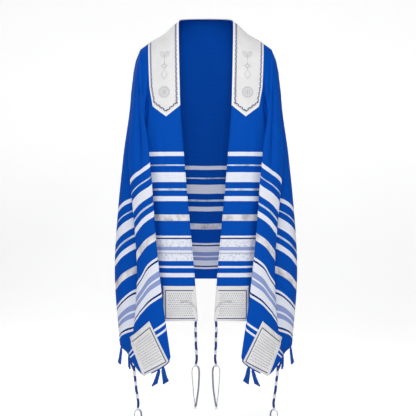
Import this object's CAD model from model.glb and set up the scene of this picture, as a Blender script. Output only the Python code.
import math
import random

import bmesh
import bpy
from mathutils import Matrix, Vector, noise
from mathutils.bvhtree import BVHTree


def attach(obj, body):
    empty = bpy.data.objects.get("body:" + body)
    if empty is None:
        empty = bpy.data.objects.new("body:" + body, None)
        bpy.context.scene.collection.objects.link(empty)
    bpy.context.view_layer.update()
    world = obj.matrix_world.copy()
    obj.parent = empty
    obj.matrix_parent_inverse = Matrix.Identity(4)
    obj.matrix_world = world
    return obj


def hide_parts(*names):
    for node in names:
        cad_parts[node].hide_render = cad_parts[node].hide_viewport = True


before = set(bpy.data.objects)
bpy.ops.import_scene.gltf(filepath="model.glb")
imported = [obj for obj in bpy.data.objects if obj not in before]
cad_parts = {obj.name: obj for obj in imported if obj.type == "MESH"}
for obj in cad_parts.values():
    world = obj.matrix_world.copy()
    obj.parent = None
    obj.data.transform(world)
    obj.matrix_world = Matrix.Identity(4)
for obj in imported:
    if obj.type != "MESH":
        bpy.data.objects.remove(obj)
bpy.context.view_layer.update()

# A blue and white tallit, worn open over the shoulders, dressed over its CAD solids.
# The front faces -Y. Each left piece (+X) is made first and mirrored, as both sides hang alike.
# Sizes in the dictionaries are in centimetres unless a note says otherwise.
cm = 0.01
rng = random.Random(18)

# The form of the cloth, the same as the solids', but for a hem up to 1 cm higher under the outer patches
shape = {
    "depths": (24.0, 44.0, 80.0, 108.0),  # chest, middle, waist and low, below the side of the neck
    "chestHalfWidth": 24.3,
    "chestFront": 12.0,
    "chestBack": 12.3,
    "chestSquareness": 2.5,
    "slideStart": 0.15,  # share of x's first slope at the chest
    "swellStart": 2.2,  # the same for y
    # places, counted round the section from the opening edge
    "arm": 16,
    "neckSide": 23,
    "backMiddle": 26,
    # left half, a row for each place: turn at the chest in degrees, three x and three y lower down
    "section": (
        (14.7, 6.8, 3.6, 1.6, -12.4, -12.8, -12.6),  # opening edge
        (21.8, 9.6, 6.6, 4.8, -12.6, -13.0, -12.9),
        (30.1, 12.7, 9.8, 8.0, -12.3, -12.9, -12.9),
        (39.1, 16.0, 13.6, 12.0, -11.7, -12.4, -12.6),
        (44.0, 20.0, 18.6, 19.2, -10.2, -10.7, -10.9),  # first valley
        (47.5, 20.4, 19.0, 19.6, -11.4, -12.0, -12.2),
        (51.0, 17.4, 14.2, 10.4, -12.8, -13.6, -13.9),  # first ridge
        (54.5, 17.4, 14.2, 10.3, -14.2, -15.0, -15.3),
        (58.0, 20.4, 17.6, 14.5, -13.4, -14.4, -15.2),
        (62.0, 22.6, 19.8, 19.6, -11.9, -13.2, -13.7),
        (66.0, 24.2, 21.8, 22.4, -10.2, -11.5, -11.6),  # second ridge
        (70.0, 23.4, 21.6, 24.0, -8.7, -9.8, -9.7),
        (74.0, 20.6, 18.2, 24.8, -8.0, -8.8, -7.9),  # second valley
        (78.0, 20.8, 18.6, 25.8, -6.7, -7.3, -6.3),
        (82.0, 24.4, 24.6, 27.0, -6.2, -7.2, -4.5),
        (86.0, 26.5, 28.7, 27.5, -3.8, -4.6, -2.4),
        (90.0, 26.9, 29.8, 27.5, 0.0, 0.0, 0.0),  # arm
        (94.0, 26.5, 29.1, 27.3, 3.8, 4.6, 2.4),
        (107.0, 25.6, 26.8, 26.6, 7.6, 9.0, 6.6),  # rear ridge
        (116.0, 23.6, 24.2, 24.6, 9.6, 10.8, 9.4),
        (125.0, 20.6, 21.0, 21.8, 8.8, 9.6, 10.2),  # rear valley
        (134.0, 18.6, 18.4, 18.6, 10.8, 11.6, 11.8),
        (144.0, 15.6, 15.8, 16.0, 13.0, 14.4, 13.6),
        (153.0, 12.0, 12.0, 12.0, 11.9, 12.4, 12.6),
        (162.0, 8.4, 8.4, 8.4, 13.1, 14.0, 13.6),
        (171.0, 4.2, 4.2, 4.2, 12.7, 13.2, 13.2),
        (180.0, 0.0, 0.0, 0.0, 12.5, 12.9, 13.0),  # middle of the back
    ),
    # the crest of the shoulder: x, depth
    "crest": ((8.7, 0.0), (11.0, 2.0), (12.3, 3.3), (13.9, 4.6), (18.4, 7.0), (21.2, 9.0),
              (22.6, 12.3), (23.5, 16.2)),
    "bandStretches": 3.5,  # places that the band takes up beside the neck
    "bandOnCrest": 12.1,  # its length along the crest
    "neckBack": 6.6,
    "neckRise": 2.1,
    "neckSquareness": 2.6,
    "neckRisePower": 0.7,
    # the hem: place along the section, depth
    "hem": ((0.0, 95.3), (3.5, 95.5), (6.5, 105.7), (9.0, 112.3), (10.0, 109.4), (11.0, 107.2),
            (13.5, 105.0), (16.0, 103.2), (18.0, 99.5), (20.0, 94.5), (22.0, 89.0), (24.0, 85.0),
            (25.0, 84.2), (26.0, 84.2)),
}

cloth = {
    "thickness": 0.0015,  # metres
    "stepsPerStretch": 7,
    "shoulderRows": 24,
    "hangingRows": 104,
    "flat": (2.10, 0.72),  # metres
    "ripple": 0.10,  # fine unevenness of the hanging cloth
    "rippleAcross": 0.9,  # its width, in places
    "rippleDown": 17.0,
    "rippleSeed": 3.1,
    "rippleDepths": (10.0, 34.0),  # where it grows
    "creaseFade": 0.35,  # share of a crease's length at each end
    # soft creases: place, places that it wanders in 10 cm, width in places, from depth, to depth, height
    "creases": (
        (4.30, 0.02, 0.32, 16, 52, -1.50),
        (3.42, -0.07, 0.36, 42, 94, -1.00),
        (5.3, 0.03, 0.50, 18, 46, 0.40),
        (6.6, 0.05, 0.55, 22, 46, 0.25),
        (8.25, 0.02, 0.38, 12, 54, -1.10),
        (10.2, 0.05, 0.70, 15, 58, 0.40),
        (11.6, -0.04, 0.40, 20, 56, -0.50),
        (13.4, 0.05, 0.50, 18, 66, 0.30),
        (7.3, -0.15, 0.24, 8, 26, 0.30),
        (6.6, -0.12, 0.22, 9, 27, -0.22),
        (1.7, 0.03, 0.28, 29, 60, 0.16),
        (2.6, -0.03, 0.24, 31, 58, 0.14),
        (1.1, 0.06, 0.45, 40, 92, -0.12),
        (2.3, -0.05, 0.55, 44, 90, 0.14),
        (9.0, 0.05, 0.45, 66, 108, -0.14),
        (9.75, 0.02, 0.24, 88, 112, -0.30),
        (14.7, 0.02, 0.60, 26, 95, 0.40),
        (17.4, 0.05, 0.50, 16, 88, -0.95),
        (18.6, 0.02, 0.40, 14, 60, 0.60),
        (19.6, -0.04, 0.45, 14, 90, -1.00),
        (21.2, 0.02, 0.42, 14, 86, -0.85),
        (22.9, 0.03, 0.40, 12, 80, 0.65),
        (24.7, -0.05, 0.42, 12, 84, -0.60),
    ),
}

# Where the stripes run lower than on the front panel, by place and by level on the panel
drops = {
    "levels": (43.4, 50.6, 57.3, 63.2, 69.2, 77.2, 86.0, 95.3),
    "rows": (
        (3.5, (0.0,) * 8),
        (6.6, (3.2, 3.6, 4.4, 5.6, 6.3, 9.6, 10.4, 11.2)),
        (7.4, (4.3, 4.8, 5.3, 6.6, 7.3, 10.7, 12.0, 13.0)),
        (8.4, (6.0, 6.5, 7.3, 8.5, 9.6, 12.8, 14.4, 16.3)),
        (9.4, (7.6, 8.4, 9.5, 10.8, 13.2, 15.8, 17.2, 18.2)),
        (10.5, (9.6, 10.2, 11.4, 12.8, 15.4, 18.9, 19.9, 19.6)),
        (12.0, (12.0, 12.0, 13.0, 14.4, 16.4, 21.0, 21.8, 20.4)),
        (13.6, (13.9, 13.6, 14.6, 16.6, 17.4, 22.4, 22.8, 20.8)),
        (14.4, (15.3, 15.8, 17.1, 18.9, 20.2, 23.5, 23.0, 20.8)),
        (15.1, (17.2, 18.3, 19.9, 21.5, 22.3, 24.6, 23.0, 20.6)),
        (16.0, (18.2, 19.4, 21.0, 22.4, 23.4, 25.0, 22.8, 20.2)),
        (18.0, (14.0, 15.0, 16.4, 17.2, 18.0, 19.0, 18.0, 16.4)),
        (20.0, (8.6, 9.2, 10.0, 10.6, 11.0, 11.6, 11.4, 10.8)),
        (22.0, (4.6, 4.8, 5.0, 5.2, 5.4, 5.6, 5.8, 5.8)),
        (24.0, (3.3,) * 8),
        (26.0, (3.3,) * 8),
    ),
    "girthDepth": 60.0,
    "sideStart": 4.6,  # place, hidden in the first fold, where the side's stripes take over from the panel's
}


def shares(count):
    return [step / count for step in range(count + 1)]


def follow(stops, values, at, start=1.0):
    # a smooth curve through the values at the stops, straight on past the last stop
    slopes = [(b - a) / (t - s) for a, b, s, t in zip(values, values[1:], stops, stops[1:])]
    tangents = [start * slopes[0]]
    tangents += [(before + after) / 2 for before, after in zip(slopes, slopes[1:])]
    tangents.append(slopes[-1])
    if at >= stops[-1]:
        return values[-1] + tangents[-1] * (at - stops[-1])
    at = max(at, stops[0])
    index = max(i for i, stop in enumerate(stops[:-1]) if stop <= at)
    span = stops[index + 1] - stops[index]
    u = (at - stops[index]) / span
    return (
        values[index] * (2 * u**3 - 3 * u**2 + 1)
        + tangents[index] * span * (u**3 - 2 * u**2 + u)
        + values[index + 1] * (3 * u**2 - 2 * u**3)
        + tangents[index + 1] * span * (u**3 - u**2)
    )


def along(table, at):
    for (start, low), (end, high) in zip(table, table[1:]):
        if at <= end:
            return low + (high - low) * (at - start) / (end - start)
    return table[-1][1]


def rounded(turn, halfWidth, depth, squareness):
    across = abs(math.sin(math.radians(turn))) ** (2 / squareness)
    forward = abs(math.cos(math.radians(turn))) ** (2 / squareness)
    return halfWidth * across, depth * forward


def controlPoint(index, depth):
    if index > shape["backMiddle"]:
        x, y = controlPoint(2 * shape["backMiddle"] - index, depth)
        return -x, y
    if index < 0:
        x, y = controlPoint(0, depth)
        nextX, nextY = controlPoint(1, depth)
        return 2 * x - nextX, 2 * y - nextY
    row = shape["section"][index]
    chestDepth = -shape["chestFront"] if row[0] < 90 else shape["chestBack"]
    chestX, chestY = rounded(row[0], shape["chestHalfWidth"], chestDepth, shape["chestSquareness"])
    return (
        follow(shape["depths"], (chestX, *row[1:4]), depth, shape["slideStart"]),
        follow(shape["depths"], (chestY, *row[4:7]), depth, shape["swellStart"]),
    )


def sectionPoint(place, depth):
    # the section's curve, a cubic B-spline
    index = min(int(place), shape["backMiddle"] - 1)
    u = place - index
    weights = ((1 - u) ** 3, 3 * u**3 - 6 * u**2 + 4, -3 * u**3 + 3 * u**2 + 3 * u + 1, u**3)
    points = [controlPoint(index + step, depth) for step in (-1, 0, 1, 2)]
    x, y = (sum(w * p[axis] for w, p in zip(weights, points)) / 6 for axis in (0, 1))
    return (x, 0.0) if place == shape["arm"] else (x, y)


def crestPoint(distance):
    for (x, depth), (nextX, nextDepth) in zip(shape["crest"], shape["crest"][1:]):
        length = math.hypot(nextX - x, nextDepth - depth)
        if distance <= length:
            share = distance / length
            return x + (nextX - x) * share, 0.0, -(depth + (nextDepth - depth) * share)
        distance -= length
    return shape["crest"][-1][0], 0.0, -shape["crest"][-1][1]


crestLength = sum(math.dist(a, b) for a, b in zip(shape["crest"], shape["crest"][1:]))


def topPoint(place):
    if place > shape["neckSide"]:
        turn = 90.0 * (place - shape["neckSide"]) / (shape["backMiddle"] - shape["neckSide"])
        y, x = rounded(turn, shape["neckBack"], shape["crest"][0][0], shape["neckSquareness"])
        return x, y, shape["neckRise"] * math.sin(math.radians(turn)) ** shape["neckRisePower"]
    arm, neck = shape["arm"], shape["neckSide"]
    stretches, total = (place, arm) if place <= arm else (neck - place, neck - arm)
    if stretches <= shape["bandStretches"]:
        return crestPoint(shape["bandOnCrest"] * stretches / shape["bandStretches"])
    share = (stretches - shape["bandStretches"]) / (total - shape["bandStretches"])
    return crestPoint(shape["bandOnCrest"] + share * (crestLength - shape["bandOnCrest"]))


def clothPoint(place, fall):
    # fall is 0 at the top, 1 at the chest and 2 at the hem
    chest = shape["depths"][0]
    if fall > 1.0:
        depth = chest + (along(shape["hem"], place) - chest) * (fall - 1.0)
        x, y = sectionPoint(place, depth)
        return Vector((x, y, -depth)) * cm
    x, y, z = topPoint(place)
    chestX, chestY = sectionPoint(place, chest)
    rise, reach = math.cos(math.radians(90 * fall)), math.sin(math.radians(90 * fall))
    return Vector((chestX + (x - chestX) * rise, y + (chestY - y) * reach, -chest + (z + chest) * rise)) * cm


def fallAt(place, depth):
    chest = shape["depths"][0]
    return 1.0 + (depth - chest) / (along(shape["hem"], place) - chest)


def ease(low, high, at):
    u = min(max((at - low) / (high - low), 0.0), 1.0)
    return u * u * (3 - 2 * u)


def swell(place, depth):
    # how far the soft creases push the cloth out, in centimetres
    total = 0.0
    for centre, wander, width, start, end, height in cloth["creases"]:
        middle = (start + end) / 2
        reach = (place - centre - wander * (depth - middle) / 10) / width
        if abs(reach) < 3:
            run = cloth["creaseFade"] * (end - start)
            fade = ease(start, start + run, depth) * (1 - ease(end - run, end, depth))
            total += height * math.exp(-reach * reach) * fade
    spot = Vector((place / cloth["rippleAcross"], depth / cloth["rippleDown"], cloth["rippleSeed"]))
    return total + cloth["ripple"] * noise.noise(spot) * ease(*cloth["rippleDepths"], depth)


# distance round the girth to each column, along the section at one depth
columnCount = shape["backMiddle"] * cloth["stepsPerStretch"]
placeStops = [i / cloth["stepsPerStretch"] for i in range(columnCount + 1)]
girth = [0.0]
for before, after in zip(placeStops, placeStops[1:]):
    step = math.dist(sectionPoint(before, drops["girthDepth"]), sectionPoint(after, drops["girthDepth"]))
    girth.append(girth[-1] + step * cm)


def girthAt(place):
    spot = place * cloth["stepsPerStretch"]
    index = min(int(spot), columnCount - 1)
    return girth[index] + (girth[index + 1] - girth[index]) * (spot - index)


def weavePoint(place, depth):
    # where a point of the cloth lies on the loom, in metres: distance round the girth, level on the panel
    places = [row[0] for row in drops["rows"]]
    lows = []
    for index, level in enumerate(drops["levels"]):
        values = [row[1][index] for row in drops["rows"]]
        lows.append((level + follow(places, values, max(place, places[0]), 0.0), level))
    if depth <= lows[0][0]:
        level = lows[0][1] + depth - lows[0][0]
    elif depth >= lows[-1][0]:
        level = lows[-1][1] + depth - lows[-1][0]
    else:
        level = along(lows, depth)
    return Vector((girthAt(place), level * cm))


fallStops = shares(cloth["shoulderRows"])[:-1] + [1 + share for share in shares(cloth["hangingRows"])]


def between(stops, first, last):
    # the stops between two values, and the two values themselves
    return [first] + [stop for stop in stops if first + 1e-6 < stop < last - 1e-6] + [last]


def clothPatch(places, falls, lift=0.0):
    # a grid laid on the cloth over the given columns and rows, with its own weave map
    patch = bmesh.new()
    weave = patch.loops.layers.uv.new("weave")
    bmesh.ops.create_grid(patch, x_segments=len(places) - 1, y_segments=len(falls) - 1, size=0.5)
    spots, swells = {}, {}
    for vertex in patch.verts:
        place = places[round((vertex.co.x + 0.5) * (len(places) - 1))]
        fall = falls[round((0.5 - vertex.co.y) * (len(falls) - 1))]
        vertex.co = clothPoint(place, fall)
        depth = -vertex.co.z / cm
        spots[vertex] = weavePoint(place, depth)
        swells[vertex] = swell(place, depth) * cm + lift
    for face in patch.faces:
        for loop in face.loops:
            loop[weave].uv = spots[loop.vert]
    patch.normal_update()
    for vertex, out in swells.items():
        vertex.co += vertex.normal * out
    patch.normal_update()
    return patch


def mirrored(mesh):
    # turns a left piece into a right one
    bmesh.ops.scale(mesh, vec=(-1, 1, 1), verts=mesh.verts)
    bmesh.ops.reverse_faces(mesh, faces=mesh.faces)
    for weave in mesh.loops.layers.uv.values():
        for face in mesh.faces:
            for loop in face.loops:
                loop[weave].uv.x *= -1
    return mesh


def addCopy(target, source):
    holder = bpy.data.meshes.new("holder")
    source.to_mesh(holder)
    target.from_mesh(holder)
    bpy.data.meshes.remove(holder)


def bothSides(half):
    # a left piece with its mirrored twin, joined where they meet
    whole = bmesh.new()
    addCopy(whole, half)
    addCopy(whole, mirrored(half))
    half.free()
    bmesh.ops.remove_doubles(whole, verts=whole.verts, dist=0.00001)
    return whole


def cutOff(mesh, point, outward):
    bmesh.ops.bisect_plane(
        mesh, geom=mesh.verts[:] + mesh.edges[:] + mesh.faces[:], dist=0.00005,
        plane_co=point, plane_no=outward, clear_outer=True,
    )


def cutBeyond(mesh, start, end):
    # drops what lies on the right of the line from start to end, both (x, depth), seen from the front
    run, drop = end[0] - start[0], end[1] - start[1]
    cutOff(mesh, Vector((start[0], 0, -start[1])) * cm, Vector((-drop, 0, -run)))


def addObject(name, data):
    added = bpy.data.objects.new(name, data)
    bpy.context.scene.collection.objects.link(added)
    return added


def finishPiece(name, mesh, material, wall=None, offset=1.0, replaced=()):
    data = bpy.data.meshes.new(name)
    mesh.to_mesh(data)
    mesh.free()
    piece = addObject(name, data)
    data.materials.append(material)
    data.shade_smooth()
    if wall:
        solidify = piece.modifiers.new("wall", "SOLIDIFY")
        solidify.thickness = wall
        solidify.offset = offset
    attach(piece, "root")
    if replaced:
        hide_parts(*replaced)
    return piece


def finishPair(name, mesh, material, wall=None, offset=1.0, node=None):
    # a left piece and its mirrored twin, by side
    twin = mirrored(mesh.copy())
    return {
        side: finishPiece(name + side, body, material, wall, offset,
                          (f"{node}_{side.lower()}",) if node else ())
        for side, body in (("Left", mesh), ("Right", twin))
    }


def tubes(strands, ringSteps):
    # closed tubes along strands of (path, radius or list of radii), in metres
    curve = bpy.data.curves.new("tubes", "CURVE")
    curve.dimensions = "3D"
    curve.bevel_depth = cm
    curve.bevel_resolution = ringSteps
    curve.use_fill_caps = True
    for path, radius in strands:
        spline = curve.splines.new("POLY")
        spline.points.add(len(path) - 1)
        for index, point in enumerate(path):
            spline.points[index].co = (*point, 1.0)
            spline.points[index].radius = (radius[index] if isinstance(radius, list) else radius) / cm
    holder = addObject("tubes", curve)
    data = bpy.data.meshes.new_from_object(holder.evaluated_get(bpy.context.evaluated_depsgraph_get()))
    bpy.data.objects.remove(holder)
    bpy.data.curves.remove(curve)
    mesh = bmesh.new()
    mesh.from_mesh(data)
    bpy.data.meshes.remove(data)
    bmesh.ops.remove_doubles(mesh, verts=mesh.verts, dist=0.000005)
    return mesh


# Materials
colours = {
    "blue": (0.0012, 0.072, 0.43),
    "navy": (0.006, 0.028, 0.16),
    "white": (0.77, 0.80, 0.89),
    "silver": (0.80, 0.80, 0.84),
    "silverDark": (0.26, 0.26, 0.31),
    "paleSilver": (0.62, 0.73, 0.87),
    "gap": (0.30, 0.36, 0.44),
    "violet": (0.27, 0.34, 0.62),
    "greyLine": (0.46, 0.50, 0.62),
    "satin": (0.78, 0.775, 0.775),
    "satinShade": (0.72, 0.715, 0.72),
}

# Stripes by level on the front panel: from, to, colour
sharedStripes = (
    (42.7, 44.1, "white"), (46.6, 47.2, "paleSilver"), (49.1, 52.2, "white"), (54.1, 54.7, "paleSilver"),
    (56.6, 58.0, "white"), (62.3, 64.2, "silver"), (68.85, 69.45, "white"), (69.45, 69.85, "navy"),
)
panelStripes = sharedStripes + (
    (69.85, 71.85, "lace"), (71.85, 72.2, "openLace"), (72.2, 73.45, "violet"), (73.45, 73.95, "white"),
    (73.95, 74.4, "greyLine"), (74.4, 74.8, "openLace"), (74.8, 76.6, "lace"), (78.1, 78.8, "white"),
    (80.4, 81.6, "white"),
)
sideStripes = sharedStripes + (
    (69.85, 71.9, "white"), (71.9, 73.25, "violet"), (73.25, 73.65, "white"), (73.65, 74.6, "violet"),
    (74.6, 76.5, "white"), (76.5, 76.95, "navy"), (76.95, 77.45, "white"), (84.2, 84.9, "white"),
    (86.0, 86.7, "white"),
)
openwork = {"lace": 0.45, "openLace": 1.0}
stripeRange = (0.40, 0.96)  # metres of level that the ramps cover


def addNode(tree, kind, inputs=None, **options):
    made = tree.nodes.new(kind)
    for option, value in options.items():
        setattr(made, option, value)
    for place, value in (inputs or {}).items():
        if isinstance(value, bpy.types.NodeSocket):
            tree.links.new(value, made.inputs[place])
        else:
            made.inputs[place].default_value = value
    return made


def mathNode(tree, operation, first, second=0.0):
    return addNode(tree, "ShaderNodeMath", {0: first, 1: second}, operation=operation).outputs[0]


def mixColour(tree, factor, first, second, blend="MIX"):
    mixed = addNode(tree, "ShaderNodeMix", {0: factor}, data_type="RGBA", blend_type=blend)
    for place, value in ((6, first), (7, second)):
        if isinstance(value, bpy.types.NodeSocket):
            tree.links.new(value, mixed.inputs[place])
        else:
            mixed.inputs[place].default_value = (*value, 1.0)
    return mixed.outputs[2]


def ranged(tree, value, fromLow, fromHigh, toLow=0.0, toHigh=1.0):
    stops = {0: value, 1: fromLow, 2: fromHigh, 3: toLow, 4: toHigh}
    return addNode(tree, "ShaderNodeMapRange", stops).outputs[0]


def speckle(tree, where, scale, detail=2.0):
    return addNode(tree, "ShaderNodeTexNoise", {"Vector": where, "Scale": scale, "Detail": detail}).outputs[0]


def stretched(tree, where, scale, turn=(0.0, 0.0, 0.0)):
    return addNode(tree, "ShaderNodeMapping", {"Vector": where, "Rotation": turn, "Scale": scale}).outputs[0]


def startMaterial(name, roughness, specular=0.3, sheen=0.0, sheenRoughness=0.5, metal=0.0):
    # a Principled material with its constant sockets set
    material = bpy.data.materials.new(name)
    material.use_nodes = True
    tree = material.node_tree
    shader = tree.nodes["Principled BSDF"]
    for socket, value in (("Roughness", roughness), ("Metallic", metal), ("Specular IOR Level", specular),
                          ("Sheen Weight", sheen), ("Sheen Roughness", sheenRoughness)):
        shader.inputs[socket].default_value = value
    return material, tree, shader


def setBump(tree, shader, height, strength, distance):
    bump = addNode(tree, "ShaderNodeBump", {"Height": height, "Strength": strength, "Distance": distance})
    tree.links.new(bump.outputs["Normal"], shader.inputs["Normal"])


def stripeRamp(tree, level, stripes, colourOf):
    ramp = addNode(tree, "ShaderNodeValToRGB", {0: level})
    ramp.color_ramp.interpolation = "CONSTANT"
    low, high = stripeRange
    ramp.color_ramp.elements.remove(ramp.color_ramp.elements[1])
    ramp.color_ramp.elements[0].color = colourOf("blue")
    spots = {}
    for start, end, colour in stripes:
        spots[start] = colour
        spots.setdefault(end, "blue")
    for spot, colour in sorted(spots.items()):
        stop = ramp.color_ramp.elements.new((spot * cm - low) / (high - low))
        stop.color = colourOf(colour)
    return ramp.outputs[0]


weaving = {
    "threadPitch": 0.0009,  # metres
    "edgeWander": 0.0008,  # metres that a stripe's edge strays
    "wanderScale": 240.0,
    "metalScale": 34.0,
    "metalShades": (0.44, 0.68, 0.0, 0.8),
    "gapScale": 170.0,
    "gapShades": (0.26, 0.46, 0.85, 0.0),
    "slubScale": (14.0, 900.0, 1.0),
    "slubShades": (0.3, 0.7, 0.90, 1.07),
    "roughness": (0.7, 0.36),  # of dyed and of metal yarn
    "metal": 0.12,
    "threadHeight": 0.35,
    "thickYarn": 1.2,
    "bump": (0.35, 0.00025),  # strength, and distance in metres
}


def clothMaterial():
    material, tree, shader = startMaterial("wovenStripedCloth", weaving["roughness"][0], 0.03)
    weave = addNode(tree, "ShaderNodeUVMap", uv_map="weave").outputs[0]
    parts = addNode(tree, "ShaderNodeSeparateXYZ", {0: weave})
    across, level = parts.outputs[0], parts.outputs[1]
    low, high = stripeRange
    wander = mathNode(tree, "SUBTRACT", speckle(tree, weave, weaving["wanderScale"], 1.0), 0.5)
    level = mathNode(tree, "ADD", level, mathNode(tree, "MULTIPLY", wander, weaving["edgeWander"]))
    spot = mathNode(tree, "DIVIDE", mathNode(tree, "SUBTRACT", level, low), high - low)
    onPanel = mathNode(tree, "LESS_THAN", mathNode(tree, "ABSOLUTE", across), girthAt(drops["sideStart"]))

    def plain(colour):
        return (*colours["white" if colour in openwork else colour], 1.0)

    def finish(colour):
        # red is metal yarn, green is thick white yarn, blue is how open the panel's bands are
        thick = colour in ("white", "violet") or colour in openwork
        return (float("ilver" in colour), float(thick), openwork.get(colour, 0.0), 1.0)

    colour, kind = (
        mixColour(tree, onPanel, stripeRamp(tree, spot, sideStripes, look),
                  stripeRamp(tree, spot, panelStripes, look))
        for look in (plain, finish)
    )
    kinds = addNode(tree, "ShaderNodeSeparateColor", {0: kind})
    metal, thick, lace = kinds.outputs[0], kinds.outputs[1], kinds.outputs[2]
    # metal yarn shines in long uneven patches
    floats = speckle(tree, stretched(tree, weave, (1.0, 0.7, 1.0)), weaving["metalScale"], 4.0)
    patchy = ranged(tree, floats, *weaving["metalShades"])
    colour = mixColour(tree, mathNode(tree, "MULTIPLY", patchy, metal), colour, colours["silverDark"])
    # small gaps of the openwork look darker
    holes = addNode(tree, "ShaderNodeTexVoronoi", {"Vector": weave, "Scale": weaving["gapScale"]}).outputs[0]
    gaps = ranged(tree, holes, *weaving["gapShades"])
    colour = mixColour(tree, mathNode(tree, "MULTIPLY", gaps, lace), colour, colours["gap"])
    # dye and thread vary along the weft
    slub = speckle(tree, stretched(tree, weave, weaving["slubScale"]), 1.0, 3.0)
    shade = ranged(tree, slub, *weaving["slubShades"])
    grey = addNode(tree, "ShaderNodeCombineColor", {0: shade, 1: shade, 2: shade}).outputs[0]
    tree.links.new(mixColour(tree, 1.0, colour, grey, "MULTIPLY"), shader.inputs["Base Color"])
    tree.links.new(ranged(tree, metal, 0.0, 1.0, *weaving["roughness"]), shader.inputs["Roughness"])
    tree.links.new(mathNode(tree, "MULTIPLY", metal, weaving["metal"]), shader.inputs["Metallic"])
    # warp and weft, with the white yarn standing up
    warp, weft = (
        mathNode(tree, "SINE", mathNode(tree, "MULTIPLY", way, 2 * math.pi / weaving["threadPitch"]))
        for way in (across, level)
    )
    height = mathNode(tree, "MULTIPLY", mathNode(tree, "MULTIPLY", warp, weft), weaving["threadHeight"])
    height = mathNode(tree, "ADD", height, mathNode(tree, "MULTIPLY", thick, weaving["thickYarn"]))
    setBump(tree, shader, mathNode(tree, "ADD", height, slub), *weaving["bump"])
    return material


satinLook = {
    "floatScale": (900.0, 900.0, 90.0),
    "cloudScale": 26.0,
    "cloudShades": (0.3, 0.7),
    "roughness": (0.3, 0.7, 0.34, 0.52),
    "bump": (0.25, 0.0002),
}


def satinMaterial():
    material, tree, shader = startMaterial("satin", 0.42, 0.4, 0.15, 0.3)
    where = addNode(tree, "ShaderNodeTexCoord").outputs["Object"]
    floats = speckle(tree, stretched(tree, where, satinLook["floatScale"]), 1.0)
    lit = ranged(tree, speckle(tree, where, satinLook["cloudScale"]), *satinLook["cloudShades"])
    tree.links.new(mixColour(tree, lit, colours["satinShade"], colours["satin"]), shader.inputs["Base Color"])
    tree.links.new(ranged(tree, floats, *satinLook["roughness"]), shader.inputs["Roughness"])
    setBump(tree, shader, floats, *satinLook["bump"])
    return material


def threadMaterial(name, colour, dark, roughness, scale, metal=0.0):
    # spun thread or yarn: two tones that follow its twist, and a fine bump
    material, tree, shader = startMaterial(name, roughness, 0.15, 0.04, 0.5, metal)
    where = addNode(tree, "ShaderNodeTexCoord").outputs["Object"]
    fibres = speckle(tree, stretched(tree, where, (scale, scale, scale), (0.5, 0.6, 0.4)), 1.0, 3.0)
    tone = mixColour(tree, ranged(tree, fibres, 0.35, 0.65), dark, colour)
    tree.links.new(tone, shader.inputs["Base Color"])
    setBump(tree, shader, fibres, 0.4, 0.0003)
    return material


# name, lit tone, dark tone, roughness, scale of the twist and share of metal
threads = {
    "edging": ("edgingTape", (0.90, 0.90, 0.93), (0.80, 0.81, 0.85), 0.55, 700.0),
    "braid": ("metalBraid", (0.15, 0.16, 0.27), (0.045, 0.05, 0.11), 0.45, 380.0, 0.15),
    "braidInset": ("braidInset", (0.36, 0.40, 0.42), (0.16, 0.19, 0.20), 0.6, 500.0),
    "thread": ("embroideryThread", (0.40, 0.40, 0.44), (0.27, 0.27, 0.31), 0.42, 600.0),
    "border": ("borderThread", (0.13, 0.15, 0.27), (0.06, 0.07, 0.13), 0.6, 600.0),
    "mark": ("wovenMarks", (0.27, 0.28, 0.36), (0.15, 0.16, 0.23), 0.55, 700.0),
    "hem": ("hemThread", (0.004, 0.09, 0.46), (0.002, 0.045, 0.28), 0.6, 900.0),
    "cordWhite": ("whiteCord", (0.86, 0.87, 0.91), (0.64, 0.66, 0.74), 0.7, 900.0),
    "string": ("cordString", (0.66, 0.66, 0.70), (0.40, 0.40, 0.44), 0.7, 900.0),
    "greyString": ("greyString", (0.34, 0.36, 0.46), (0.16, 0.17, 0.25), 0.7, 900.0),
    "cordNavy": ("navyCord", (0.020, 0.070, 0.34), (0.007, 0.025, 0.15), 0.7, 900.0),
    "yarn": ("blueYarn", (0.006, 0.095, 0.48), (0.002, 0.035, 0.22), 0.75, 700.0),
}
finishes = {kind: threadMaterial(*row) for kind, row in threads.items()}
finishes.update(cloth=clothMaterial(), satin=satinMaterial())
print("materials made")

# The shawl's cloth, one piece round the whole body
shawlMesh = bothSides(clothPatch(placeStops, fallStops))
shawl = finishPiece("shawlCloth", shawlMesh, finishes["cloth"], cloth["thickness"], -1.0,
                    ("shawl_front_left", "shawl_front_right", "shawl_back"))
print("cloth hung, area", round(sum(face.area for face in shawl.data.polygons), 3), "square metres")

# The atarah
band = {
    "places": (0, 5),
    "falls": (0.0, 1.14),
    "bend": (17.7, 22.5),
    "lowCorner": (16.6, 28.6),
    "point": (12.4, 31.8),
    "innerCorner": (6.8, 27.4),
    "thickness": 0.0009,  # metres
    "gap": 0.0003,  # metres
    "flat": (0.94, 0.115),  # metres
    # for the outer side, the opening side and the pointed end
    "edgingWidths": (0.46, 0.74, 0.60),
    "braidInsets": (0.72, 1.08, 1.34),
    "edgingHeight": 0.05,
    "edgingThickness": 0.0004,  # metres
    "dashLength": 0.92,
    "dashPitch": 0.78,
    "dashWidth": 0.44,
    "dashHeight": 0.12,
    "dashLean": 0.9,
    "dashVary": (0.85, 1.1),
    "crestPlaces": (0.5, 3.3),
    "crestFall": 0.03,
    "insetDash": (0.40, 0.20, 0.08),
    "insetShift": (0.2, 0.3),  # sideways from the dashes
    "trimStart": (0.4, 0.5),  # how far a trim starts from the crest, sideways and down
    "neckStart": 0.25,  # places behind the side of the neck
    "placeWidth": 3.0,  # of one place near the opening
    "fallLength": 26.0,  # of the cloth from the neck's edge to the chest
    "edgeDepth": 27.0,  # where the point meets the opening's edge
}
neckSide, backMiddle = shape["neckSide"], shape["backMiddle"]
crestX, _, crestZ = crestPoint(shape["bandOnCrest"])
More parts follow.
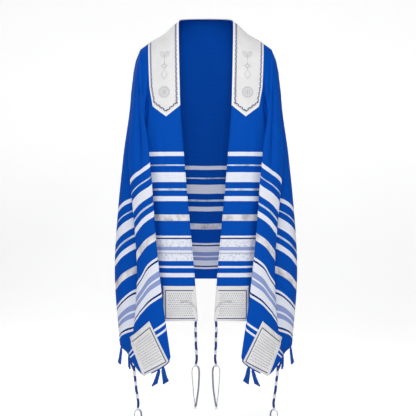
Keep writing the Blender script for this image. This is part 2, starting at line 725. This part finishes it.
outerTop = (crestX, -crestZ)
front = clothPatch(between(placeStops, *band["places"]), between(fallStops, *band["falls"]), band["gap"])
outline = [outerTop] + [band[corner] for corner in ("bend", "lowCorner", "point", "innerCorner")]
for end, start in zip(outline, outline[1:]):
    cutBeyond(front, start, end)
behind = clothPatch(between(placeStops, shape["arm"], backMiddle), between(fallStops, 0.0, 1.0), band["gap"])
cutOff(behind, Vector((0, 0, crestZ)) * cm, Vector((0, 0, -1)))
half = bmesh.new()
addCopy(half, front)
addCopy(half, behind)
bmesh.ops.remove_doubles(half, verts=half.verts, dist=0.00005)
front.free()
behind.free()
bandTree = BVHTree.FromBMesh(half)
atarah = finishPiece("atarahBand", bothSides(half), finishes["satin"], band["thickness"],
                     replaced=("atarah",))
print("atarah laid")


def onSurface(tree, x, depth, lift, behind=False):
    # the point of a laid piece straight in front of x and depth, raised by lift metres, and its normal
    side = 1 if behind else -1
    spot, normal, _, _ = tree.ray_cast(Vector((x * cm, side * 1.0, -depth * cm)), Vector((0, -side, 0)))
    if spot is None:
        return None
    if normal.y * side < 0:
        normal = -normal
    return spot + normal * lift, normal


def evenly(points, pitch):
    # points at an even pitch along a path of (point, normal), with their direction
    found, carried = [], 0.0
    for (start, normal), (end, _) in zip(points, points[1:]):
        run = end - start
        length = run.length
        if length < 1e-7:
            continue
        while carried <= length:
            found.append((start + run * (carried / length), normal, run / length))
            carried += pitch
        carried -= length
    return found


def addMark(mesh, spot, normal, run, size, rings=1):
    # a small rounded stitch or leaf: length along run, width and height
    side = normal.cross(run).normalized()
    run = side.cross(normal).normalized()
    turn = Matrix((run, side, normal)).transposed().to_4x4()
    scale = Matrix.Diagonal((size[0] / 2 * cm, size[1] / 2 * cm, size[2] * cm, 1.0))
    place = Matrix.Translation(spot) @ turn @ scale
    bmesh.ops.create_icosphere(mesh, subdivisions=rings, radius=1.0, matrix=place)


def layRibbon(target, points, width, height):
    # adds a domed tape along a path of (point, normal)
    tape = bmesh.new()
    bmesh.ops.create_grid(tape, x_segments=len(points) - 1, y_segments=4, size=0.5)
    for vertex in tape.verts:
        index = round((vertex.co.x + 0.5) * (len(points) - 1))
        spot, normal = points[index]
        before, after = points[max(index - 1, 0)][0], points[min(index + 1, len(points) - 1)][0]
        side = normal.cross((after - before).normalized()).normalized()
        across = vertex.co.y * 2
        vertex.co = spot + side * across * width / 2 * cm + normal * height * (1 - across * across) * cm
    addCopy(target, tape)
    tape.free()


def straight(tree, start, end, lift, step=0.3, behind=False):
    # a straight line over a laid piece, from one (x, depth) to another
    count = max(int(math.dist(start, end) / step), 1)
    spots = [Vector(start).lerp(Vector(end), share) for share in shares(count)]
    return [found for spot in spots if (found := onSurface(tree, *spot, lift, behind))]


def clothLine(spots, lift, back=0.05):
    # a line over the cloth through spots of (place, fall), with normals that look back places to one side
    path = []
    for place, fall in spots:
        spot = clothPoint(place, fall)
        beside = clothPoint(min(place + 0.05, backMiddle), fall) - clothPoint(max(place - back, 0), fall)
        below = clothPoint(place, min(fall + 0.004, 2.0)) - clothPoint(place, fall - 0.004)
        normal = below.cross(beside).normalized()
        path.append((spot + normal * (lift + swell(place, -spot.z / cm) * cm), normal))
    return path


top = band["gap"] + band["thickness"]


def movedLine(start, end, distance):
    # a line of the band's outline, moved in towards the middle of the flap
    run = Vector((end[0] - start[0], end[1] - start[1])).normalized()
    shift = Vector((-run.y, run.x)) * distance
    return (start[0] + shift.x, start[1] + shift.y), (end[0] + shift.x, end[1] + shift.y)


def meet(first, second):
    (ax, ay), (bx, by) = first
    (px, py), (qx, qy) = second
    rx, ry, sx, sy = bx - ax, by - ay, qx - px, qy - py
    share = ((px - ax) * sy - (py - ay) * sx) / (rx * sy - ry * sx)
    return ax + rx * share, ay + ry * share


def bandLines(outerInset, openingInset, lowInset):
    # the paths of a trim: down the outer side, under the point, down the opening edge, and round the back
    outer = movedLine(outerTop, band["bend"], outerInset)
    low = movedLine(band["bend"], band["lowCorner"], outerInset)
    lowOuter = movedLine(band["lowCorner"], band["point"], lowInset)
    lowInner = movedLine(band["point"], band["innerCorner"], lowInset)
    bend, corner, tip = meet(outer, low), meet(low, lowOuter), meet(lowOuter, lowInner)
    edgeX = sectionPoint(0, band["edgeDepth"])[0] + openingInset
    run = (edgeX - lowInner[0][0]) / (lowInner[1][0] - lowInner[0][0])
    edgeDepth = lowInner[0][1] + (lowInner[1][1] - lowInner[0][1]) * run
    lift = band["thickness"]
    aside, lower = band["trimStart"]
    down = straight(bandTree, (outer[0][0], outer[0][1] + lower), bend, lift)
    down += straight(bandTree, bend, corner, lift)
    under = straight(bandTree, corner, tip, lift) + straight(bandTree, tip, (edgeX, edgeDepth), lift)
    openingFalls = between(fallStops, 0.02, fallAt(0, edgeDepth))
    opening = clothLine([(openingInset / band["placeWidth"], fall) for fall in openingFalls], top, 0.0)
    behindDepth = -crestZ - outerInset
    level = straight(bandTree, (outer[0][0] - aside, behindDepth), (0.0, behindDepth), lift, 0.4, True)
    neckPlaces = between(placeStops, neckSide + band["neckStart"], backMiddle)
    neck = clothLine([(place, openingInset / band["fallLength"]) for place in neckPlaces], top)
    return (down, under, opening, level, neck)


edgingHalf = bmesh.new()
outerWidth, openingWidth, lowWidth = band["edgingWidths"]
paths = bandLines(outerWidth / 2, openingWidth / 2, lowWidth / 2)
for path, width in zip(paths, (outerWidth, lowWidth, openingWidth, outerWidth, openingWidth)):
    layRibbon(edgingHalf, path, width, band["edgingHeight"])
edging = finishPiece("atarahEdging", bothSides(edgingHalf), finishes["edging"],
                     band["edgingThickness"])

braidHalf, insetHalf = bmesh.new(), bmesh.new()
crestPlaces = between(placeStops, *band["crestPlaces"])
crest = clothLine([(place, band["crestFall"]) for place in crestPlaces], top)
for path in (*bandLines(*band["braidInsets"]), crest):
    for count, (spot, normal, run) in enumerate(evenly(path, band["dashPitch"] / 2 * cm)):
        side = normal.cross(run).normalized()
        if count % 2 == 0:
            lean = run + side * (band["dashLean"] if count % 4 else -band["dashLean"])
            length = band["dashLength"] * rng.uniform(*band["dashVary"])
            addMark(braidHalf, spot, normal, lean, (length, band["dashWidth"], band["dashHeight"]), 2)
        else:
            shifted = spot + side * rng.uniform(*band["insetShift"]) * cm
            addMark(insetHalf, shifted, normal, run, band["insetDash"])
braid = finishPiece("atarahBraid", bothSides(braidHalf), finishes["braid"])
inset = finishPiece("atarahBraidInset", bothSides(insetHalf), finishes["braidInset"])
print("braid sewn")

# Embroidery of the atarah: a branch of nested arcs, a star flower, a pointed oval and a rosette, all generic.
# A size is length, width and height. Angles are in degrees: 0 is down the band and 90 away from the opening.
embroidery = {
    "centreX": 13.0,
    # depth, radius, first angle, angle to the next, how many, size, turn of each and how finely it is rounded
    "rounds": (
        (11.5, 0.50, -90, 180 / 4, 5, (0.40, 0.18, 0.06), 90, 1),  # arcs of the branch
        (11.5, 0.98, -90, 180 / 9, 10, (0.40, 0.18, 0.06), 90, 1),
        (11.5, 1.46, -90, 180 / 13, 14, (0.40, 0.18, 0.06), 90, 1),
        (15.8, 0.81, 0, 90, 4, (0.78, 0.2, 0.06), 0, 2),  # rays of the flower
        (15.8, 0.67, 45, 90, 4, (0.50, 0.2, 0.06), 0, 2),
        (15.8, 0.42, 0, 45, 8, (0.34, 0.14, 0.05), 90, 1),
        (24.1, 1.65, 0, 360 / 34, 34, (0.36, 0.17, 0.06), 90, 1),  # rings of the rosette
        (24.1, 1.353, 0, 360 / 28, 28, (0.36, 0.17, 0.06), 90, 1),
        (24.1, 0.72, 0, 45, 8, (0.74, 0.24, 0.07), 0, 2),  # its petals, rays and eye
        (24.1, 2.0, 22.5, 45, 8, (0.26, 0.13, 0.06), 0, 1),
        (24.1, 0.0, 0, 0, 1, (0.46, 0.46, 0.10), 0, 2),
    ),
    # depth, distances from the middle, size
    "buds": (11.16, (0.5, 0.98, 1.46), (0.44, 0.2, 0.06)),
    # depth, pitch, how many, size
    "stem": (11.5, 0.34, 10, (0.36, 0.14, 0.05)),
    # depth, half its width, half its length, steps, size
    "oval": (18.5, 0.85, 1.395, 10, (0.40, 0.14, 0.06)),
}
stitched = bmesh.new()


def addLeaf(aside, depth, angle, size, rings=2):
    # aside is from the embroidery's middle line
    found = onSurface(bandTree, embroidery["centreX"] + aside, depth, band["thickness"])
    if found:
        spot, normal = found
        turn = math.radians(angle)
        addMark(stitched, spot, normal, Vector((math.sin(turn), 0, -math.cos(turn))), size, rings)


for depth, reach, first, pitch, count, size, turned, rings in embroidery["rounds"]:
    for index in range(count):
        angle = first + pitch * index
        turn = math.radians(angle)
        addLeaf(reach * math.sin(turn), depth + reach * math.cos(turn), angle + turned, size, rings)
depth, pitch, count, size = embroidery["stem"]
for index in range(count):
    addLeaf(0, depth + pitch * index, 0, size, 1)
budDepth, reaches, budSize = embroidery["buds"]
depth, wide, high, steps, size = embroidery["oval"]
for side in (-1, 1):
    for reach in reaches:
        addLeaf(side * reach, budDepth, 0, budSize)
    for share in shares(steps):
        slope = math.atan2(side * wide * math.pi * math.cos(math.pi * share), 2 * high)
        bow = side * wide * math.sin(math.pi * share)
        addLeaf(bow, depth - high * (1 - 2 * share), math.degrees(slope), size, 1)
motifs = finishPiece("atarahEmbroidery", bothSides(stitched), finishes["thread"])
print("atarah embroidered")

# The four corner patches
patches = {
    "thickness": 0.0009,  # metres
    "gap": 0.0003,  # metres
    "flat": {"inner": (0.107, 0.108), "outer": (0.136, 0.102)},  # metres
    "innerPlaces": (0, 5),
    "innerFalls": (1.75, 2.0),
    "innerHeight": 10.8,
    "innerOuterX": 13.3,
    "outerPlaces": (6, 13),
    "outerFalls": (1.6, 2.0),
    # the outer patch's corners, (x, depth)
    "outerTop": (17.5, 95.2),
    "outerSide": (24.1, 101.3),
    "outerLow": (19.4, 112.4),
    "outerRidge": (11.2, 108.0),
    "borderInset": (0.75, 1.4, 0.75),  # at the sides, above and below
    "borderWidth": 0.30,
    "borderHeight": 0.03,
    "borderThickness": 0.0003,  # metres
    "rows": 11,
    "marksPerRow": 12,
    "mark": (0.50, 0.24, 0.05),
    "markLean": 35,  # degrees
    "marksAcross": (0.14, 0.72),  # where they start and how far they go, as shares of the patch
    "marksDown": (0.19, 0.68),
    # the cord that holds the inner tzitzit: its path on the patch as (x, depth), its eyelet and its thickness
    "cord": ((7.5, 89.3), (4.4, 88.9), (2.6, 91.2), (2.3, 94.6)),
    "cordRadius": 0.13,
    "cordLift": 0.6,  # of its radius
    "cordSteps": 32,
    "eyeletRadius": 0.42,
    "eyeletSteps": 18,
}


def borderAndMarks(tree, outline):
    # outline is four (x, depth) corners round the patch, and the border stays open from the last to the first
    def inPatch(across, down):
        a, b, c, d = (Vector(corner) for corner in outline)
        return a.lerp(b, across).lerp(d.lerp(c, across), down)

    lift, tilt = patches["thickness"], patches["markLean"]
    wide, high = math.dist(outline[0], outline[1]), math.dist(outline[0], outline[3])
    side, above, below = patches["borderInset"]
    side, above, below = side / wide, above / high, 1 - below / high
    turns = ((side, above), (1 - side, above), (1 - side, below), (side, below))
    border, marks = bmesh.new(), bmesh.new()
    for start, end in zip(turns, turns[1:]):
        path = straight(tree, inPatch(*start), inPatch(*end), lift)
        if len(path) > 1:
            layRibbon(border, path, patches["borderWidth"], patches["borderHeight"])
    (firstAcross, allAcross), (firstDown, allDown) = patches["marksAcross"], patches["marksDown"]
    for row in range(patches["rows"]):
        for column in range(patches["marksPerRow"]):
            across = firstAcross + allAcross * (column + 0.5 * (row % 2)) / patches["marksPerRow"]
            down = firstDown + allDown * (row + 0.5) / patches["rows"]
            here, beside = inPatch(across, down), inPatch(across + 0.02, down)
            found = onSurface(tree, *here, lift)
            if found:
                spot, normal = found
                run = Vector((beside[0] - here[0], 0, here[1] - beside[1])).normalized()
                lean = Matrix.Rotation(math.radians(tilt if column % 2 else -tilt), 3, normal)
                addMark(marks, spot, normal, lean @ run, patches["mark"])
    return border, marks


def cordPaths(tree):
    # the cord of an inner tzitzit over its patch, and the eyelet that it comes from
    start, first, second, end = (Vector(spot) for spot in patches["cord"])
    lift = patches["thickness"]
    curve, eyelet = [], []
    for u in shares(patches["cordSteps"]):
        flat = start * (1 - u)**3 + first * 3 * u * (1 - u)**2 + second * 3 * u * u * (1 - u) + end * u**3
        found = onSurface(tree, *flat, lift + patches["cordRadius"] * cm * patches["cordLift"])
        if found:
            curve.append(found[0])
    for share in shares(patches["eyeletSteps"]):
        turn = 2 * math.pi * share
        flat = start + Vector((math.cos(turn), math.sin(turn))) * patches["eyeletRadius"]
        eyelet.append(onSurface(tree, *flat, lift)[0])
    return [curve, eyelet]


def makePatch(corner, face, outline):
    tree = BVHTree.FromBMesh(face)
    border, marks = borderAndMarks(tree, outline)
    patch = finishPair(f"{corner}Patch", face, finishes["satin"], patches["thickness"],
                       node=f"corner_patch_{corner}")
    sewnOn = [
        finishPair(f"{corner}PatchBorder", border, finishes["border"], patches["borderThickness"]),
        finishPair(f"{corner}PatchMarks", marks, finishes["mark"]),
    ]
    if corner == "inner":
        cord = tubes([(path, patches["cordRadius"] * cm) for path in cordPaths(tree)], 2)
        sewnOn.append(finishPair(f"{corner}PatchCord", cord, finishes["string"]))


def patchFace(corner):
    places, falls = patches[f"{corner}Places"], patches[f"{corner}Falls"]
    return clothPatch(between(placeStops, *places), between(fallStops, *falls), patches["gap"])


hemDepth = along(shape["hem"], 0)
topDepth, outerX = hemDepth - patches["innerHeight"], patches["innerOuterX"]
edgeTop, edgeLow = sectionPoint(0, topDepth)[0], sectionPoint(0, hemDepth)[0]
face = patchFace("inner")
cutOff(face, Vector((0, 0, patches["innerHeight"] - hemDepth)) * cm, Vector((0, 0, 1)))
cutOff(face, Vector((outerX, 0, 0)) * cm, Vector((1, 0, 0)))
makePatch("inner", face, ((edgeTop, topDepth), (outerX, topDepth), (outerX, hemDepth), (edgeLow, hemDepth)))
outline = [patches[f"outer{spot}"] for spot in ("Side", "Top", "Ridge", "Low")]
face = patchFace("outer")
for start, end in ((1, 2), (0, 1), (3, 0)):
    cutBeyond(face, outline[start], outline[end])
makePatch("outer", face, outline)
print("corner patches laid")

# Turned hems along the openings and round the lower edge, with their stitches
hems = {
    "places": 0.17,
    "share": 0.009,  # of the stretch below the chest
    "seam": 0.8,  # how far in over the hem its stitches run
    "lift": 0.0002,  # metres
    "thickness": 0.0004,  # metres
    "stitch": (0.24, 0.06, 0.03),
    "stitchPitch": 0.42,
    "openingDepths": (31.4, 84.0),
    "stretches": ((3.85, 5.9), (13.4, 26.0)),
}
hemHalf, stitchHalf = bmesh.new(), bmesh.new()
openingFalls = between(fallStops, *(fallAt(0, depth) for depth in hems["openingDepths"]))
turned = [clothPatch([0.0, hems["places"] / 2, hems["places"]], openingFalls, hems["lift"])]
seamLift = hems["lift"] + hems["thickness"]
seams = [clothLine([(hems["places"] * hems["seam"], fall) for fall in openingFalls], seamLift, 0.0)]
for stretch in hems["stretches"]:
    columns = between(placeStops, *stretch)
    turned.append(clothPatch(columns, [2 - hems["share"], 2 - hems["share"] / 2, 2.0], hems["lift"]))
    seams.append(clothLine([(place, 2 - hems["share"] * hems["seam"]) for place in columns], seamLift))
for strip in turned:
    addCopy(hemHalf, strip)
    strip.free()
for seam in seams:
    for spot, normal, run in evenly(seam, hems["stitchPitch"] * cm):
        addMark(stitchHalf, spot, normal, run, hems["stitch"])
hemTape = finishPiece("shawlHems", bothSides(hemHalf), finishes["cloth"],
                      hems["thickness"])
hemStitches = finishPiece("shawlHemStitches", bothSides(stitchHalf), finishes["hem"])
print("hems turned")

# Tzitzit
tzitzit = {
    # kind, radius, length and sideways lean of each stretch, from the hem down
    "wound": (("navy", 0.42, 2.0, 0.05), ("knot", 0.52, 1.3, 0.0), ("navy", 0.43, 1.9, -0.05),
              ("knot", 0.48, 1.1, -0.06), ("navy", 0.43, 2.8, 0.10), ("knot", 0.54, 1.2, 0.04),
              ("navy", 0.42, 3.0, -0.16), ("knot", 0.52, 1.0, 0.0)),
    "corners": (("inner", 0.2, 0.0), ("outer", 10.1, -1.3)),  # place along the hem, lean
    "threadRadius": 0.085,
    "coreRadius": 0.28,
    "pitch": 0.19,
    "pointsPerTurn": 12,
    "fewestTurns": 1.5,
    "knotThread": 0.18,
    "knotPitch": 1.7,  # times its thread's radius
    "knotWaist": 0.72,  # of its radius, at its two ends
    "knotTilt": 0.35,
    "sway": 0.14,
    "swayTurn": 7.0,
    "steps": 60,  # along the core and each string
    "overlap": 0.35,  # of the strings with the last knot
    "stringLength": 12.3,
    "stringStart": 0.18,
    "stringSpread": 0.95,
    "stringBow": 0.46,  # under 1 widens the loop near its top
    "stringSway": 0.06,
    "stringSwayTurn": 9.0,
    # side, plies, ply radius, distance of the plies from the string's middle and finish of each string
    "strings": ((1, 2, 0.10, 0.09, "string"), (-1, 3, 0.145, 0.17, "greyString")),
    "stringTurns": 9,
    "endKnotRadius": 0.30,
    "endKnotWaist": 0.7,
    "endKnot": (3, 0.6, 0.11, 48),  # turns, height, radius of its thread and steps
    "endLength": 1.3,
    "endVary": (0.7, 1.0),
    "endSpread": (0.35, 0.2),  # sideways and from front to back
    "endRadius": 0.05,
    "ends": 7,
    "gap": 0.03,
}
woundLength = sum(row[2] for row in tzitzit["wound"])


def hemPoint(place):
    point = clothPoint(place, 2)
    inward = Vector((point.x, point.y, 0)).normalized() * cloth["thickness"] / 2
    return point - inward


def axisPoint(topSpot, lean, down):
    share = down / woundLength
    sideways = lean * share + tzitzit["sway"] * math.sin(tzitzit["swayTurn"] * share)
    passed = 0.0
    for _, _, length, bent in tzitzit["wound"]:
        if passed <= down <= passed + length:
            sideways += bent * math.sin(math.pi * (down - passed) / length)
        passed += length
    return topSpot + Vector((sideways, 0, -down)) * cm


def onTurn(reach, turn, up, sideways=0.0):
    return Vector((sideways + reach * math.cos(turn), reach * math.sin(turn), up)) * cm


def pinched(waist, share):
    return waist + (1 - waist) * math.sin(math.pi * share)


def windings(start, lean):
    # the navy and the white strands
    navy, white, down = [], [], 0.0
    for kind, radius, length, _ in tzitzit["wound"]:
        knotted = kind == "knot"
        thread = tzitzit["knotThread"] if knotted else tzitzit["threadRadius"]
        pitch = tzitzit["knotPitch"] * thread if knotted else tzitzit["pitch"]
        turns = max((length - 2 * thread) / pitch, tzitzit["fewestTurns"])
        path = []
        for share in shares(int(turns * tzitzit["pointsPerTurn"])):
            turn = 2 * math.pi * turns * share
            reach, tilt = radius - thread, 0.0
            if knotted:
                reach *= pinched(tzitzit["knotWaist"], share)
                tilt = tzitzit["knotTilt"] * reach * math.cos(turn) * (1 if int(turns * share) % 2 else -1)
            centre = axisPoint(start, lean, down + thread + (length - 2 * thread) * share)
            path.append(centre + onTurn(reach, turn, tilt))
        (white if knotted else navy).append((path, thread * cm))
        down += length
    # the core that the windings close on
    core = [axisPoint(start, lean, woundLength * share) for share in shares(tzitzit["steps"])]
    white.append((core, tzitzit["coreRadius"] * cm))
    return navy, white


def hangingStrings(end):
    # the strands of each string finish, with the knot that ties both strings and their frayed ends
    strings = {"string": [], "greyString": []}
    overlap, length = tzitzit["overlap"], tzitzit["stringLength"]
    for side, plies, plyRadius, around, finish in tzitzit["strings"]:
        for ply in range(plies):
            path = []
            for share in shares(tzitzit["steps"]):
                bow = math.sin(math.pi * share**tzitzit["stringBow"])
                spread = tzitzit["stringStart"] + tzitzit["stringSpread"] * bow
                sway = tzitzit["stringSway"] * math.sin(tzitzit["stringSwayTurn"] * share + side)
                twist = 2 * math.pi * (tzitzit["stringTurns"] * share + ply / plies)
                path.append(end + onTurn(around, twist, overlap - length * share, side * spread + sway))
            strings[finish].append((path, plyRadius * cm))
    foot = end + Vector((tzitzit["stringSway"], 0, overlap - length)) * cm
    turns, height, thread, steps = tzitzit["endKnot"]
    knot = []
    for share in shares(steps):
        reach = tzitzit["endKnotRadius"] * pinched(tzitzit["endKnotWaist"], share)
        knot.append(foot + onTurn(reach, 2 * math.pi * turns * share, height * (0.5 - share)))
    strings["greyString"].append((knot, thread * cm))
    wide, deep = tzitzit["endSpread"]
    for index in range(tzitzit["ends"]):
        turn = 2 * math.pi * index / tzitzit["ends"]
        drop = tzitzit["endLength"] * rng.uniform(*tzitzit["endVary"])
        tip = Vector((wide * math.cos(turn), deep * math.sin(turn), -drop))
        path = [foot + tip * share * cm for share in shares(2)]
        strings["string"].append((path, tzitzit["endRadius"] * cm))
    return strings


for corner, place, lean in tzitzit["corners"]:
    start = hemPoint(place) - Vector((0, 0, tzitzit["gap"])) * cm
    navy, white = windings(start, lean)
    strings = hangingStrings(axisPoint(start, lean, woundLength))
    for part, strands, finish, node in (
        ("White", white, "cordWhite", f"tzitzit_{corner}"),
        ("String", strings["string"], "string", None),
        ("GreyString", strings["greyString"], "greyString", None),
        ("Navy", navy, "cordNavy", None),
    ):
        finishPair(f"{corner}Tzitzit{part}", tubes(strands, 1), finishes[finish], node=node)
print("tzitzit wound")

# Fringe: a narrow strip under the outer hems, with tassels of twisted yarn
fringe = {
    "stripGap": 0.06,
    "stripHeight": 0.45,
    "strips": (("front", 7.0, 8.5), ("side", 11.0, 21.5)),
    # place, lean to the side, lean to the back and length
    "tassels": ((7.72, -1.0, -0.9, 5.4), (8.0, 1.4, -0.7, 5.4), (11.2, -1.3, -0.8, 4.2),
                (11.8, -0.2, -0.4, 4.4), (14.5, 0.6, -0.6, 6.0), (17.5, 0.5, 0.9, 5.6),
                (19.0, -0.4, 0.9, 5.2), (21.0, 0.4, 0.8, 5.0)),
    "steps": 24,
    "strandRadius": 0.34,
    "strandSpread": 0.5,
    "spreadPower": 1.5,
    "evenLean": 0.55,  # the share of the lean that grows evenly, the rest grows towards the tip
    "plies": 4,
    "plyRadius": 0.26,
    "plyTwist": 0.27,
    # the share of its size at the root, and the share of the length over which it grows
    "twistGrows": (0.45, 0.3),
    "plyGrows": (0.5, 0.25),
    "twists": 2.6,
    "frayFrom": 0.74,
    "fray": 0.10,
    "shorter": 0.7,  # the yarn's own ends reach a little less far than the solids'
}


def grown(growth, share):
    first, over = growth
    return first + (1 - first) * ease(0.0, over, share)


def tassel(place, leanX, leanY, length):
    # the plies of two strands that part towards their frayed tips
    plies = []
    root = hemPoint(place) - Vector((0, 0, fringe["stripGap"] + fringe["stripHeight"] / 2)) * cm
    run = (hemPoint(place + 0.1) - hemPoint(place - 0.1)).normalized()
    for side in (-1, 1):
        for ply in range(fringe["plies"]):
            path, radius = [], []
            for share in shares(fringe["steps"]):
                spread = fringe["strandRadius"] / 2 * (1 - share)
                spread += fringe["strandSpread"] * share**fringe["spreadPower"]
                lean = fringe["evenLean"] * share + (1 - fringe["evenLean"]) * share * share
                turns = fringe["twists"] * min(share, fringe["frayFrom"]) + ply / fringe["plies"]
                twist = 2 * math.pi * turns
                around = fringe["plyTwist"] * grown(fringe["twistGrows"], share)
                around += fringe["fray"] * ease(fringe["frayFrom"], 1.0, share)
                drop = (fringe["shorter"] - length) * share
                hang = Vector((leanX * lean, leanY * lean + around * math.sin(twist), drop)) * cm
                path.append(root + run * (side * spread + around * math.cos(twist)) * cm + hang)
                radius.append(fringe["plyRadius"] * grown(fringe["plyGrows"], share) * cm)
            plies.append((path, radius))
    return plies


for stripName, first, last in fringe["strips"]:
    columns = between(placeStops, first, last)
    strip = bmesh.new()
    bmesh.ops.create_grid(strip, x_segments=len(columns) - 1, y_segments=3, size=0.5)
    for vertex in strip.verts:
        place = columns[round((vertex.co.x + 0.5) * (len(columns) - 1))]
        drop = fringe["stripGap"] + fringe["stripHeight"] * (0.5 - vertex.co.y)
        vertex.co = clothPoint(place, 2) - Vector((0, 0, drop)) * cm
    strands = [ply for row in fringe["tassels"] if first < row[0] < last for ply in tassel(*row)]
    finishPair(f"{stripName}FringeStrip", strip, finishes["yarn"], cloth["thickness"], -1.0,
               f"fringe_{stripName}")
    finishPair(f"{stripName}Tassels", tubes(strands, 1), finishes["yarn"])
print("tassels hung")

# Camera, floor and light, in metres
view = {
    "place": (0.0065, -3.0, -0.603),
    "distance": 3.0,
    "frameAtOrigin": 1.348,  # metres across the picture at that distance
    "sensor": 36,  # millimetres
}
camera = addObject("camera", bpy.data.cameras.new("camera"))
camera.location = view["place"]
camera.rotation_euler = (math.radians(90), 0, 0)
camera.data.sensor_width = view["sensor"]
camera.data.lens = view["sensor"] * view["distance"] / view["frameAtOrigin"]
bpy.context.scene.camera = camera

stage = {
    "floorDepth": 1.50,  # below the side of the neck
    "glow": 0.45,  # strength of the floor's own light
    "ambient": 0.16,  # strength of the world's light
    "width": 14.0,
    "front": -6.0,
    "back": 3.0,
    "sweep": 1.5,
    "height": 6.0,
}
sweepMesh = bmesh.new()
bmesh.ops.create_grid(sweepMesh, x_segments=2, y_segments=40, size=0.5)
flatRun = stage["back"] - stage["front"]
arc = math.pi / 2 * stage["sweep"]
for vertex in sweepMesh.verts:
    run = (vertex.co.y + 0.5) * (flatRun + arc + stage["height"])
    x = vertex.co.x * stage["width"]
    if run <= flatRun:
        vertex.co = (x, stage["front"] + run, -stage["floorDepth"])
    elif run <= flatRun + arc:
        turn = (run - flatRun) / stage["sweep"]
        vertex.co = (x, stage["back"] + stage["sweep"] * math.sin(turn),
                     -stage["floorDepth"] + stage["sweep"] * (1 - math.cos(turn)))
    else:
        z = -stage["floorDepth"] + stage["sweep"] + run - flatRun - arc
        vertex.co = (x, stage["back"] + stage["sweep"], z)
sweepData = bpy.data.meshes.new("floor")
sweepMesh.to_mesh(sweepData)
sweepMesh.free()
sweepData.shade_smooth()
floor = addObject("floor", sweepData)
material, tree, shader = startMaterial("paleFloor", 0.9)
grain = speckle(tree, addNode(tree, "ShaderNodeTexCoord").outputs["Object"], 3.0)
tree.links.new(mixColour(tree, grain, (0.93, 0.93, 0.93), (0.95, 0.95, 0.95)), shader.inputs["Base Color"])
shader.inputs["Emission Color"].default_value = (1.0, 1.0, 1.0, 1.0)
shader.inputs["Emission Strength"].default_value = stage["glow"]
sweepData.materials.append(material)

lights = {
    # place, aim, size, and power in watts
    "left": ((-2.0, -2.8, 1.0), (0, 0, -0.55), 0.8, 8),
    "right": ((2.0, -2.8, 1.0), (0, 0, -0.55), 0.8, 8),
    "front": ((0, -3.1, 1.2), (0, 0, -0.35), 0.8, 39),
    "top": ((0, -1.5, 1.9), (0, 0, -0.2), 1.2, 26),
    "back": ((-2.3, 2.0, 0.9), (0, 0, -0.5), 0.7, 26),
}
for name, (place, aim, size, power) in lights.items():
    lamp = addObject(name, bpy.data.lights.new(name, "AREA"))
    lamp.data.energy = power
    lamp.data.size = size
    lamp.location = place
    lamp.rotation_euler = (Vector(aim) - Vector(place)).to_track_quat("-Z", "Y").to_euler()
world = bpy.data.worlds.new("studio")
world.use_nodes = True
world.node_tree.nodes["Background"].inputs[0].default_value = (1.0, 1.0, 1.0, 1.0)
world.node_tree.nodes["Background"].inputs[1].default_value = stage["ambient"]
bpy.context.scene.world = world
bpy.context.scene.view_settings.view_transform = "Standard"

print("scene made")
